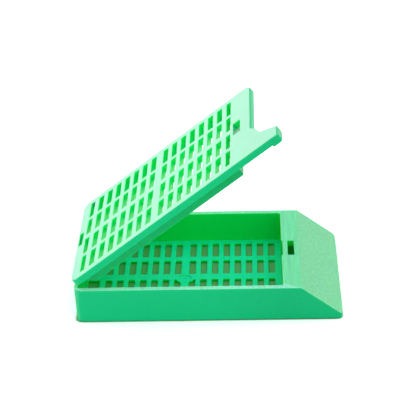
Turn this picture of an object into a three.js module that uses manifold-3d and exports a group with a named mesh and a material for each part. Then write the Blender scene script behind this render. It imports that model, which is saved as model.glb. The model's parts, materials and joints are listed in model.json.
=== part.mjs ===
// A two-piece tissue cassette, as moulded in one colour of acetal: an open base with a slotted
// floor and a sloped writing face, and a slotted lid that hooks into the base's rear wall and
// snaps shut at the front. Millimetres, +Z up, +X towards the nose of the writing slope.
// The origin is the centre of the base's footprint, on its underside.

import * as THREE from "three";
import { mergeVertices } from "three/addons/utils/BufferGeometryUtils.js";
import Module from "manifold-3d";

// ---- Base: overall sizes, with X measured from the rear wall's top edge ----
const LENGTH = 41.3;
const WIDTH = 28.5;
const RIM_HEIGHT = 5.43;
const SLOPE_RUN = 6.36;
const NOSE_HEIGHT = 0.8;
const REAR_CORNER_RADIUS = 1.5;
const NOSE_CORNER_RADIUS = 0.6;

// ---- Base: walls ----
const FLOOR = 0.5;
const SIDE_WALL = 1.18;
const REAR_WALL = 0.6;
const REAR_SET_IN = 0.47; // the rear wall leans: its foot stands this far in from its top
const SLOPE_WALL = 1.1;
const NOSE_SOLID = 2.3;
const WELL_CORNER_RADIUS = 0.5;

// ---- Base: latch bridge, a springy strip between the well and the relief slot ----
const BRIDGE_WIDTH = 1.02;
const BRIDGE_DEPTH = 0.85;
const BRIDGE_RECESS = 0.2;
const BRIDGE_LENGTH = 5.15;
const RELIEF_SLOT = 0.99;
const SHELF_LAND = 0.79;
const LATCH_WINDOW_HEIGHT = 2.1;

// ---- Base: opening in the rear wall for the lid's hook ----
const REAR_STRIP_DEPTH = 0.8;
const HOOK_WINDOW_HEIGHT = 1.05;
const HOOK_OFFSET = 0.45; // the hook sits this far to the +Y side of the centre line

// ---- Slot grids ----
const COLUMNS = 16;
const FLOOR_GRID = { slot: 1.0, endBar: 0.6, middle: 0.5, edge: 1.12, row: 1.5, centre: 2.0 };
const LID_GRID = { slot: 0.97, endBar: 0.6, middle: 0.6, edge: 1.7, row: 1.15, centre: 1.72 };
const LID_END_SLOT = 0.78;
const LID_GRID_START = 1.18;
const WIDE_SLOT_BAR = 0.08;
const WIDE_SLOT = 1.78;
const GATE = { radius: 1.45, offset: -0.6, dish: 1.1, depth: 0.1, dimpleRadius: 0.35, dimpleDepth: 0.22 };

// ---- Lid ----
const LID_THICKNESS = 1.1;
const LID_CORNER_RADIUS = 1.6;
const SKIRT_DEPTH = 1.6;
const SKIRT_WALL = 0.9;
const SKIRT_CORNER_RADIUS = 0.4;
const SKIRT_CHAMFER = 1.9;
const HOOK_POST = 0.75;
const HOOK_LENGTH = 4.5;
const LIP_REACH = 0.7;
const LIP_HEIGHT = 0.62;
const LIP_BEVEL = 0.22;
const BARB_REACH = 1.0;
const BARB_LENGTH = 4.2;
const BARB_LAND = 0.18;
const BARB_WINDOW_PLAY = 0.3;

// ---- Lid: finger tab at the near front corner, with a shoulder along the front edge ----
const TAB_REACH = 4.9;
const TAB_WIDTH = 3.65;
const TAB_ROOT_WIDTH = 6.1;
const TAB_ROOT_REACH = 1.65;
const SHOULDER_WIDTH = 9.95;
const SHOULDER_REACH = 0.7;
const SHOULDER_RUN = 1.1;
const TAB_TIP_RADIUS = 0.5;
const TAB_LIP = 0.3;
const TAB_LIP_LENGTH = 1.6;

// ---- Fits between lid and base ----
const LID_SEAT_GAP = 0.05;
const SKIRT_GAP = 0.37;
const SKIRT_FRONT_GAP = 0.54;
const LIP_SIDE_GAP = 0.15;
const LATCH_GAP = 0.08;
const HOOK_WALL_GAP = 0.4;

// ---- Hinge line: the lid rocks about a line just behind and above the rear rim ----
const HINGE_BEHIND = 0.5;
const HINGE_ABOVE = 0.72;
const OPEN_ANGLE = THREE.MathUtils.degToRad(37.2);

const PLASTIC = { color: 0x66deaa, roughness: 0.45, metalness: 0 };
const ARC_STEPS = 6;
const GATE_STEPS = 20;
const PAST = 1; // how far a cutter runs past the face it opens

// ---- Places worked out from the sizes ----
const HALF_WIDTH = WIDTH / 2;
const SLOPE_TOP = LENGTH - SLOPE_RUN;
const RELIEF_START = SLOPE_TOP - SHELF_LAND - RELIEF_SLOT;
const WELL_FRONT = RELIEF_START - BRIDGE_WIDTH;
const WELL_REAR = REAR_SET_IN + REAR_WALL;
const WELL_HALF = HALF_WIDTH - SIDE_WALL;
const LID_UNDERSIDE = RIM_HEIGHT + LID_SEAT_GAP;
const LID_TOP = LID_UNDERSIDE + LID_THICKNESS;
const SKIRT_BOTTOM = LID_UNDERSIDE - SKIRT_DEPTH;
const SKIRT_HALF = WELL_HALF - SKIRT_GAP;
const SKIRT_FRONT = WELL_FRONT - SKIRT_FRONT_GAP;
const SKIRT_REAR = REAR_WALL + SKIRT_GAP;
const HOOK_REAR = REAR_WALL + HOOK_WALL_GAP;
const LID_FRONT = SLOPE_TOP + LID_SEAT_GAP;
const TAB_TIP = LID_FRONT + TAB_REACH;
const MID_PLATE = LID_UNDERSIDE + LID_THICKNESS / 2; // pieces under the lid start here, inside the plate
const HINGE = new THREE.Vector3(-HINGE_BEHIND, 0, RIM_HEIGHT + HINGE_ABOVE);

const wasm = await Module();
wasm.setup();

// A three.js geometry as a solid that can be cut and joined.
function toSolid(geometry) {
  geometry.deleteAttribute("normal");
  geometry.deleteAttribute("uv");
  const merged = mergeVertices(geometry, 1e-4);
  return new wasm.Manifold(
    new wasm.Mesh({
      numProp: 3,
      vertProperties: new Float32Array(merged.attributes.position.array),
      triVerts: new Uint32Array(merged.index.array),
    }),
  );
}

// A solid back as a three.js geometry, moved by minus the given place.
function toGeometry(solid, place) {
  const { vertProperties, triVerts } = solid.getMesh();
  const geometry = new THREE.BufferGeometry();
  geometry.setAttribute("position", new THREE.BufferAttribute(vertProperties, 3));
  geometry.setIndex(new THREE.BufferAttribute(triVerts, 1));
  geometry.translate(-place.x, -place.y, -place.z);
  geometry.computeVertexNormals();
  return geometry;
}

// An outline through corners [x, y, radius], each rounded by an arc of its own radius.
function outline(corners) {
  const shape = new THREE.Shape();
  corners.forEach(([x, y, radius = 0], i) => {
    const corner = new THREE.Vector2(x, y);
    const before = corners[(i + corners.length - 1) % corners.length];
    const after = corners[(i + 1) % corners.length];
    const back = new THREE.Vector2(before[0] - x, before[1] - y).normalize();
    const ahead = new THREE.Vector2(after[0] - x, after[1] - y).normalize();
    const half = Math.acos(back.dot(ahead)) / 2;
    const middle = back.clone().add(ahead).normalize();
    const centre = corner.clone().addScaledVector(middle, radius / Math.sin(half));
    const turnsRight = back.cross(ahead) > 0;
    const start = corner.clone().addScaledVector(back, radius / Math.tan(half));
    const end = corner.clone().addScaledVector(ahead, radius / Math.tan(half));
    if (i === 0) shape.moveTo(start.x, start.y);
    else shape.lineTo(start.x, start.y);
    if (radius > 0) {
      const from = start.sub(centre).angle();
      const to = end.sub(centre).angle();
      shape.absarc(centre.x, centre.y, radius, from, to, turnsRight);
    }
  });
  shape.closePath();
  return shape;
}

function rectangle(x0, x1, y0, y1, radius = 0) {
  return outline([[x0, y0, radius], [x1, y0, radius], [x1, y1, radius], [x0, y1, radius]]);
}

// Plan outlines raised into upright prisms from z0 to z1.
function upright(shapes, z0, z1) {
  const settings = { depth: z1 - z0, bevelEnabled: false, curveSegments: ARC_STEPS };
  return toSolid(new THREE.ExtrudeGeometry(shapes, settings).translate(0, 0, z0));
}

// A side profile in X and Z, carried across from y0 to y1.
function across(profile, y0, y1) {
  const settings = { depth: y1 - y0, bevelEnabled: false, curveSegments: ARC_STEPS };
  const geometry = new THREE.ExtrudeGeometry(outline(profile), settings);
  return toSolid(geometry.rotateX(Math.PI / 2).translate(0, y1, 0));
}

function box(x0, x1, y0, y1, z0, z1) {
  return upright(rectangle(x0, x1, y0, y1), z0, z1);
}

// Centres of the slot columns between two ends, parted by a wider bar in the middle.
function columnCentres(start, end, grid) {
  const pitch = (end - start - grid.middle) / COLUMNS;
  return Array.from({ length: COLUMNS }, (_, i) => {
    const pastMiddle = i < COLUMNS / 2 ? 0 : grid.middle;
    return start + (i + 0.5) * pitch + pastMiddle;
  });
}

// The four rows of slots as [y0, y1] spans, mirrored about the centre line.
function rowSpans(half, grid) {
  const inner = grid.centre / 2;
  const slot = (half - grid.edge - inner - grid.row) / 2;
  const spans = [
    [inner, inner + slot],
    [inner + slot + grid.row, half - grid.edge],
  ];
  return [...spans, ...spans.map(([y0, y1]) => [-y1, -y0])];
}

// ---- Base ----

function baseBlock() {
  const plan = outline([
    [0, -HALF_WIDTH, REAR_CORNER_RADIUS],
    [LENGTH, -HALF_WIDTH, NOSE_CORNER_RADIUS],
    [LENGTH, HALF_WIDTH, NOSE_CORNER_RADIUS],
    [0, HALF_WIDTH, REAR_CORNER_RADIUS],
  ]);
  const side = [
    [REAR_SET_IN, 0],
    [LENGTH + PAST, 0],
    [LENGTH + PAST, NOSE_HEIGHT - (PAST * (RIM_HEIGHT - NOSE_HEIGHT)) / SLOPE_RUN],
    [SLOPE_TOP, RIM_HEIGHT],
    [0, RIM_HEIGHT],
  ];
  return upright(plan, 0, RIM_HEIGHT).intersect(across(side, -WIDTH, WIDTH));
}

// The rear inner face leans with the wall, so the wall keeps one thickness.
function wallSlopeAt(z) {
  return WELL_REAR - (REAR_SET_IN * z) / RIM_HEIGHT;
}

function well() {
  const top = RIM_HEIGHT + PAST;
  const plan = rectangle(0, WELL_FRONT, -WELL_HALF, WELL_HALF, WELL_CORNER_RADIUS);
  const side = [
    [wallSlopeAt(FLOOR), FLOOR],
    [WELL_FRONT + PAST, FLOOR],
    [WELL_FRONT + PAST, top],
    [wallSlopeAt(top), top],
  ];
  return upright(plan, FLOOR, top).intersect(across(side, -WIDTH, WIDTH));
}

// The block under the slope is open from below; its roof keeps the slope wall's thickness.
function slopeHollow() {
  const fall = (RIM_HEIGHT - NOSE_HEIGHT) / SLOPE_RUN;
  const drop = SLOPE_WALL * Math.hypot(1, fall); // the sloped wall's thickness, measured upright
  const underSlope = (x) => RIM_HEIGHT - drop - fall * (x - SLOPE_TOP);
  const roof = RIM_HEIGHT - SLOPE_WALL;
  const front = LENGTH - NOSE_SOLID;
  const profile = [
    [RELIEF_START, -PAST],
    [front, -PAST],
    [front, underSlope(front)],
    [SLOPE_TOP - (drop - SLOPE_WALL) / fall, roof],
    [RELIEF_START, roof],
  ];
  return across(profile, -WELL_HALF, WELL_HALF);
}

// The relief slot behind the bridge, the shallow recess in its face and the window below it.
function latchCuts() {
  const half = BRIDGE_LENGTH / 2;
  const windowTop = RIM_HEIGHT - BRIDGE_DEPTH;
  const windowBottom = windowTop - LATCH_WINDOW_HEIGHT;
  const top = RIM_HEIGHT + PAST;
  const slotEnd = RELIEF_START + RELIEF_SLOT;
  return [
    box(RELIEF_START, slotEnd, -half, half, windowBottom, top),
    box(WELL_FRONT - PAST, WELL_FRONT + BRIDGE_RECESS, -half, half, windowBottom, top),
    box(WELL_FRONT - PAST, slotEnd, -half, half, windowBottom, windowTop),
  ];
}

function hookWindow() {
  const half = HOOK_LENGTH / 2 + LIP_SIDE_GAP;
  const [y0, y1] = [HOOK_OFFSET - half, HOOK_OFFSET + half];
  const top = RIM_HEIGHT - REAR_STRIP_DEPTH;
  return box(-PAST, WELL_REAR, y0, y1, top - HOOK_WINDOW_HEIGHT, top);
}

function floorSlots() {
  const start = WELL_REAR + FLOOR_GRID.endBar;
  const centres = columnCentres(start, WELL_FRONT - FLOOR_GRID.endBar, FLOOR_GRID);
  const rows = rowSpans(WELL_HALF, FLOOR_GRID);
  const wideStart = WELL_REAR + WIDE_SLOT_BAR;
  const shapes = centres.flatMap((x, column) =>
    rows.map(([y0, y1]) => {
      const middleRow = Math.min(Math.abs(y0), Math.abs(y1)) === FLOOR_GRID.centre / 2;
      if (column === 0 && middleRow) return rectangle(wideStart, wideStart + WIDE_SLOT, y0, y1);
      return rectangle(x - FLOOR_GRID.slot / 2, x + FLOOR_GRID.slot / 2, y0, y1);
    }),
  );
  return upright(shapes, -PAST, FLOOR + PAST);
}

// A turned solid about an upright axis at the moulding gate, from a closed profile [r, z].
function turnedAtGate(profile) {
  const points = profile.map(([r, z]) => new THREE.Vector2(r, z));
  const turned = new THREE.LatheGeometry(points, GATE_STEPS).rotateX(Math.PI / 2);
  return toSolid(turned).translate((WELL_REAR + WELL_FRONT) / 2, GATE.offset, 0);
}

// The round pad of the moulding gate, as thick as the floor; it closes the slots' corners there.
function gatePad() {
  return turnedAtGate([
    [0, 0],
    [GATE.radius, 0],
    [GATE.radius, FLOOR],
    [0, FLOOR],
  ]);
}

// The shallow dish in the pad, with the gate's dimple in its middle.
function gateDish() {
  return turnedAtGate([
    [0, FLOOR - GATE.dimpleDepth],
    [GATE.dimpleRadius / 2, FLOOR - GATE.dimpleDepth],
    [GATE.dimpleRadius, FLOOR - GATE.depth],
    [GATE.dish, FLOOR - GATE.depth],
    [GATE.dish, FLOOR + PAST],
    [0, FLOOR + PAST],
  ]);
}

function makeBase() {
  const cutters = [well(), slopeHollow(), ...latchCuts(), hookWindow(), floorSlots()];
  const open = cutters.reduce((solid, cutter) => solid.subtract(cutter), baseBlock());
  return open.add(gatePad()).subtract(gateDish());
}

// ---- Lid, modelled shut on the base ----

function lidPlate() {
  const near = -HALF_WIDTH;
  const plan = outline([
    [0, near, LID_CORNER_RADIUS],
    [TAB_TIP, near, TAB_TIP_RADIUS],
    [TAB_TIP, near + TAB_WIDTH, TAB_TIP_RADIUS],
    [LID_FRONT + TAB_ROOT_REACH, near + TAB_ROOT_WIDTH, TAB_TIP_RADIUS],
    [LID_FRONT + SHOULDER_REACH, near + SHOULDER_WIDTH - SHOULDER_RUN, TAB_TIP_RADIUS],
    [LID_FRONT, near + SHOULDER_WIDTH],
    [LID_FRONT, HALF_WIDTH, LID_CORNER_RADIUS],
    [0, HALF_WIDTH, LID_CORNER_RADIUS],
  ]);
  return upright(plan, LID_UNDERSIDE, LID_TOP);
}

function lidSlots() {
  const centres = columnCentres(LID_GRID_START, WELL_FRONT - LID_GRID.endBar, LID_GRID);
  const rows = rowSpans(HALF_WIDTH, LID_GRID);
  const shapes = centres.flatMap((x, column) => {
    const atEnd = column === 0 || column === COLUMNS - 1;
    const half = (atEnd ? LID_END_SLOT : LID_GRID.slot) / 2;
    return rows.map(([y0, y1]) => rectangle(x - half, x + half, y0, y1));
  });
  return upright(shapes, LID_UNDERSIDE - PAST, LID_TOP + PAST);
}

// The wall under the lid that drops into the well; its rear ends are cut back for the swing.
function skirt() {
  const inner = SKIRT_HALF - SKIRT_WALL;
  const radius = SKIRT_CORNER_RADIUS;
  const outer = outline([
    [SKIRT_REAR, -SKIRT_HALF],
    [SKIRT_FRONT, -SKIRT_HALF, radius],
    [SKIRT_FRONT, SKIRT_HALF, radius],
    [SKIRT_REAR, SKIRT_HALF],
  ]);
  const inside = rectangle(SKIRT_REAR - PAST, SKIRT_FRONT - SKIRT_WALL, -inner, inner);
  const ring = upright(outer, SKIRT_BOTTOM, MID_PLATE).subtract(
    upright(inside, SKIRT_BOTTOM - PAST, MID_PLATE + PAST),
  );
  const side = [
    [SKIRT_REAR, LID_UNDERSIDE],
    [SKIRT_REAR + SKIRT_CHAMFER, SKIRT_BOTTOM],
    [SKIRT_FRONT + PAST, SKIRT_BOTTOM],
    [SKIRT_FRONT + PAST, MID_PLATE],
    [SKIRT_REAR, MID_PLATE],
  ];
  return ring.intersect(across(side, -WIDTH, WIDTH));
}

// A post under the lid whose lip points back, into the opening of the rear wall.
function hook() {
  const top = RIM_HEIGHT - REAR_STRIP_DEPTH - LATCH_GAP;
  const bottom = top - LIP_HEIGHT;
  const tip = HOOK_REAR - LIP_REACH;
  const profile = [
    [tip + LIP_BEVEL, top],
    [tip, top - LIP_BEVEL],
    [tip, top - LIP_HEIGHT / 2],
    [HOOK_REAR - LIP_REACH / 2, bottom],
    [HOOK_REAR + HOOK_POST, bottom],
    [HOOK_REAR + HOOK_POST, MID_PLATE],
    [HOOK_REAR, MID_PLATE],
    [HOOK_REAR, top],
  ];
  return across(profile, HOOK_OFFSET - HOOK_LENGTH / 2, HOOK_OFFSET + HOOK_LENGTH / 2);
}

// A ramped barb on the skirt's front face that snaps under the bridge.
function barb() {
  const top = RIM_HEIGHT - BRIDGE_DEPTH - LATCH_GAP;
  const tip = SKIRT_FRONT + BARB_REACH;
  const profile = [
    [SKIRT_FRONT - SKIRT_WALL / 2, SKIRT_BOTTOM],
    [SKIRT_FRONT + BARB_REACH / 3, SKIRT_BOTTOM],
    [tip, top - BARB_LAND],
    [tip, top],
    [SKIRT_FRONT - SKIRT_WALL / 2, top],
  ];
  return across(profile, -BARB_LENGTH / 2, BARB_LENGTH / 2);
}

// The windows over the hook's lip and the barb, which the mould needs to shape them.
function lidWindows() {
  const z0 = LID_UNDERSIDE - PAST / 2;
  const z1 = LID_TOP + PAST;
  const [hookStart, hookEnd] = [HOOK_OFFSET - HOOK_LENGTH / 2, HOOK_OFFSET + HOOK_LENGTH / 2];
  const barbHalf = BARB_LENGTH / 2 + LIP_SIDE_GAP;
  const barbEnd = SKIRT_FRONT + BARB_REACH + BARB_WINDOW_PLAY;
  return [
    box(HOOK_REAR - LIP_REACH, HOOK_REAR, hookStart, hookEnd, z0, z1),
    box(SKIRT_FRONT, barbEnd, -barbHalf, barbHalf, z0, z1),
  ];
}

// The finger tab is thicker at its tip.
function tabLip() {
  const near = -HALF_WIDTH;
  const plan = outline([
    [TAB_TIP - TAB_LIP_LENGTH, near],
    [TAB_TIP, near, TAB_TIP_RADIUS],
    [TAB_TIP, near + TAB_WIDTH, TAB_TIP_RADIUS],
    [TAB_TIP - TAB_LIP_LENGTH, near + TAB_WIDTH],
  ]);
  return upright(plan, LID_UNDERSIDE - TAB_LIP, MID_PLATE);
}

function makeLid() {
  const added = [skirt(), hook(), barb(), tabLip()];
  const whole = added.reduce((solid, detail) => solid.add(detail), lidPlate());
  return [lidSlots(), ...lidWindows()].reduce((solid, cutter) => solid.subtract(cutter), whole);
}

// ---- Assembly: the base, and the lid standing open on its hinge line ----

function piece(name, solid, place) {
  const mesh = new THREE.Mesh(toGeometry(solid, place), new THREE.MeshStandardMaterial(PLASTIC));
  mesh.name = name;
  mesh.position.copy(place);
  return mesh;
}

const cassette = new THREE.Group();
const base = piece("base", makeBase(), new THREE.Vector3());
const lid = piece("lid", makeLid(), HINGE);
lid.rotation.y = -OPEN_ANGLE;
cassette.add(base, lid);
cassette.position.x = -LENGTH / 2;

export default cassette;
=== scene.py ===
"""A tissue cassette: a slotted base and a snap lid, each one moulding of mint green acetal.

Both mouldings keep the fixed frame's shape. Every flat face is filled again inside a narrow land
along its outline, and every edge gets its own small radius, as a polished mould leaves it. The lid
stands half open on a white table in a soft white studio. Lengths are in millimetres, unless a
field or a comment says metres.
"""

from __future__ import annotations

import json
import logging
import math
from dataclasses import dataclass
from enum import Enum
from typing import Any

import bmesh
import bpy
import numpy as np
from mathutils import Matrix, Vector
from mathutils.geometry import delaunay_2d_cdt

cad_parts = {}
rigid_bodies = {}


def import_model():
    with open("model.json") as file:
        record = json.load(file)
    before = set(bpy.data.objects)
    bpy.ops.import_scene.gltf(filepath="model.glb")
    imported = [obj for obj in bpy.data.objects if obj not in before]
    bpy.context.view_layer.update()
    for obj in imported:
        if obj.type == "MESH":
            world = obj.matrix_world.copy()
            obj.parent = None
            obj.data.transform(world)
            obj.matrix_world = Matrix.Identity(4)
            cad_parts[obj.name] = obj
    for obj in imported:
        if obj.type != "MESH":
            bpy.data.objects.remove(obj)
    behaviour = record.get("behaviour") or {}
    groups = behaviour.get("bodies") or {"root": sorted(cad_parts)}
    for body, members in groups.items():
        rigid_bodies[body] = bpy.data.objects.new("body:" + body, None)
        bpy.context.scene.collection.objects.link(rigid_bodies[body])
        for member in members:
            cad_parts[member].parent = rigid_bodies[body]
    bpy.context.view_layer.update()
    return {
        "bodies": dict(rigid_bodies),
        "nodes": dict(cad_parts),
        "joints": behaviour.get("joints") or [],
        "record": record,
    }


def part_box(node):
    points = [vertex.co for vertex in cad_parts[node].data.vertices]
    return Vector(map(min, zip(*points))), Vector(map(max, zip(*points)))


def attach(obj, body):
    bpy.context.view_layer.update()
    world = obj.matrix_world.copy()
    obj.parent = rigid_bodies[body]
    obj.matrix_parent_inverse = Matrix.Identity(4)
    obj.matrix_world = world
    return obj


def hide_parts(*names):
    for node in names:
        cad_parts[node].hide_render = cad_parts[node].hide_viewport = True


log = logging.getLogger("cassette")

MM = 0.001
MERGE_DISTANCE = 2e-6  # metres; corners closer than this are one
FAR = 1e3  # millimetres; longer than any part
TOUCH = 1e-4  # millimetres; places this close touch
TINY = 1e-9  # keeps a slant off zero
NOTHING = 1e-12  # keeps a length or an area off zero
FACING = 0.2  # sine of the flattest angle at which a ray still meets an edge
RAY_SHARES = (0.03, 0.5, 0.97)  # where along an edge its rays leave
CORNER_SHARE = 0.7  # share of the room ahead of a corner that its land may cross
CDT_INSIDE = 1  # Blender's number for a filling that stays inside its outlines
CDT_REACH = 1e-6  # millimetres; outline points closer than this are one
THIN = 5e-3  # millimetres; a triangle under this height has no sure direction
THINNEST = 1e-4  # millimetres; one under this height has none at all
THIN_BEND = 6.0  # degrees that a flat face may bend at a thin triangle
FLAT_BEND = 0.5  # degrees that it may bend anywhere else
LIKENESS = 0.97  # cosine above which two faces look the same way
LIKE_WEIGHT = 10.0  # how many times more such a neighbour's edges count
SHARPEST_TURN = -0.98  # lowest cosine between two edges that a corner of a land allows for
STRAIGHT_ON = 0.999  # cosine above which two edges run on in a line
STEEP = 0.5  # a face that looks up by less than this is a wall, and by more a top
NOISE_MEAN = 0.5  # of a noise between 0 and 1
UP = np.array([0.0, 0.0, 1.0])
BLACK = (0.0, 0.0, 0.0, 1.0)
WHITE = (1.0, 1.0, 1.0, 1.0)
TINT = "tint"
ROUGHNESS = "roughness"


# ---------------------------------------------------------------- shader maths


class Socket:
    """One output of a shader node, which adds Math nodes when it is used in an expression."""

    def __init__(self, graph: Graph, link: bpy.types.NodeSocket) -> None:
        """Wraps an output socket of the graph."""
        self.graph = graph
        self.link = link

    def output(self, name: str) -> Socket:
        """Another output of the same node, by name."""
        return Socket(self.graph, self.link.node.outputs[name])

    def maths(self, operation: str, *values: Any) -> Socket:
        """One Math node on this socket and the values, in order."""
        inputs = dict(enumerate((self, *values)))
        return self.graph.add("ShaderNodeMath", {"operation": operation}, inputs)

    def __add__(self, other: Any) -> Socket:
        """This plus a socket or number."""
        return self.maths("ADD", other)

    def __sub__(self, other: Any) -> Socket:
        """This minus a socket or number."""
        return self.maths("SUBTRACT", other)

    def __rsub__(self, other: float) -> Socket:
        """A number minus this."""
        return self.maths("MULTIPLY_ADD", -1.0, other)

    def __mul__(self, other: Any) -> Socket:
        """This times a socket or number."""
        return self.maths("MULTIPLY", other)

    def __abs__(self) -> Socket:
        """The size of this, without its sign."""
        return self.maths("ABSOLUTE")

    __radd__ = __add__
    __rmul__ = __mul__

    def above(self, other: Any) -> Socket:
        """The larger of this and a socket or number."""
        return self.maths("MAXIMUM", other)

    def ramp(self, start: float, end: float) -> Socket:
        """A smooth step from 0 at start to 1 at end; end may be the smaller.

        Args:
            start: value of this at which the step is still 0.
            end: value of this at which the step has become 1.

        Returns:
            The step as a Socket.
        """
        settings = {"interpolation_type": "SMOOTHSTEP"}
        inputs = {"Value": self, "From Min": start, "From Max": end}
        return self.graph.add("ShaderNodeMapRange", settings, inputs)


@dataclass(frozen=True)
class Pattern:
    """Noise, by its repeats in a millimetre along X, Y and Z, and its octaves."""

    repeats: tuple[float, float, float]
    octaves: float


class Graph:
    """The node tree of a material or a world, built by short calls."""

    def __init__(self, owner: bpy.types.Material | bpy.types.World) -> None:
        """Clears the owner's node tree and keeps it."""
        owner.use_nodes = True
        self.tree = owner.node_tree
        self.tree.nodes.clear()

    def add(
        self,
        kind: str,
        settings: dict[str, Any] | None = None,
        inputs: dict[Any, Any] | None = None,
        output: Any = 0,
    ) -> Socket:
        """Adds a node, sets its properties and then its inputs.

        Args:
            kind: Blender's type name of the node.
            settings: properties that are set first, such as an operation.
            inputs: input name or number to a number, colour, vector or Socket.
            output: name or number of the output to return.

        Returns:
            The chosen output as a Socket.
        """
        node = self.tree.nodes.new(kind)
        for key, value in (settings or {}).items():
            setattr(node, key, value)
        for key, value in (inputs or {}).items():
            if isinstance(value, Socket):
                self.tree.links.new(value.link, node.inputs[key])
            else:
                node.inputs[key].default_value = value
        return Socket(self, node.outputs[output])

    def blend(self, factor: Any, low: Any, high: Any) -> Socket:
        """Mixes two colours; a factor of 0 gives the low one and 1 the high one."""
        # A Mix node has its colours at inputs 6 and 7, and the mixed one at output 2.
        inputs = {0: factor, 6: low, 7: high}
        return self.add("ShaderNodeMix", {"data_type": "RGBA"}, inputs, 2)

    def noise(self, place: Socket, pattern: Pattern) -> Socket:
        """Noise between 0 and 1.

        Args:
            place: the Object coordinates, in metres.
            pattern: its repeats and octaves.

        Returns:
            The noise value.
        """
        scale = tuple(times / MM for times in pattern.repeats)
        inputs = {0: place, 1: scale}
        spread = self.add("ShaderNodeVectorMath", {"operation": "MULTIPLY"}, inputs)
        inputs = {"Vector": spread, "Scale": 1.0, "Detail": pattern.octaves}
        return self.add("ShaderNodeTexNoise", {}, inputs)

    def scaled(self, colour: Socket, times: Socket) -> Socket:
        """A colour times a number."""
        inputs = {0: colour, 3: times}
        return self.add("ShaderNodeVectorMath", {"operation": "SCALE"}, inputs)

    def finish(self, shader: Socket, kind: str = "ShaderNodeOutputMaterial") -> None:
        """Adds the output node and links its surface."""
        node = self.tree.nodes.new(kind)
        self.tree.links.new(shader.link, node.inputs["Surface"])


# ---------------------------------------------------------------- solids as flat faces


def unit(vectors: np.ndarray) -> np.ndarray:
    """The vectors at length one, along the last axis."""
    return vectors / np.maximum(np.linalg.norm(vectors, axis=-1, keepdims=True), NOTHING)


def joined(group: np.ndarray, one: np.ndarray, two: np.ndarray) -> np.ndarray:
    """Joins groups by spreading the lowest group number over each set of linked groups.

    Args:
        group: the group of each item.
        one: a group of each link.
        two: the other group of each link.

    Returns:
        The new group of each item, numbered without gaps.
    """
    label = np.arange(group.max() + 1)
    while True:
        lower = np.minimum(label[one], label[two])
        spread = label.copy()
        np.minimum.at(spread, one, lower)
        np.minimum.at(spread, two, lower)
        spread = spread[spread]
        if np.array_equal(spread, label):
            return np.unique(label[group], return_inverse=True)[1]
        label = spread


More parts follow.
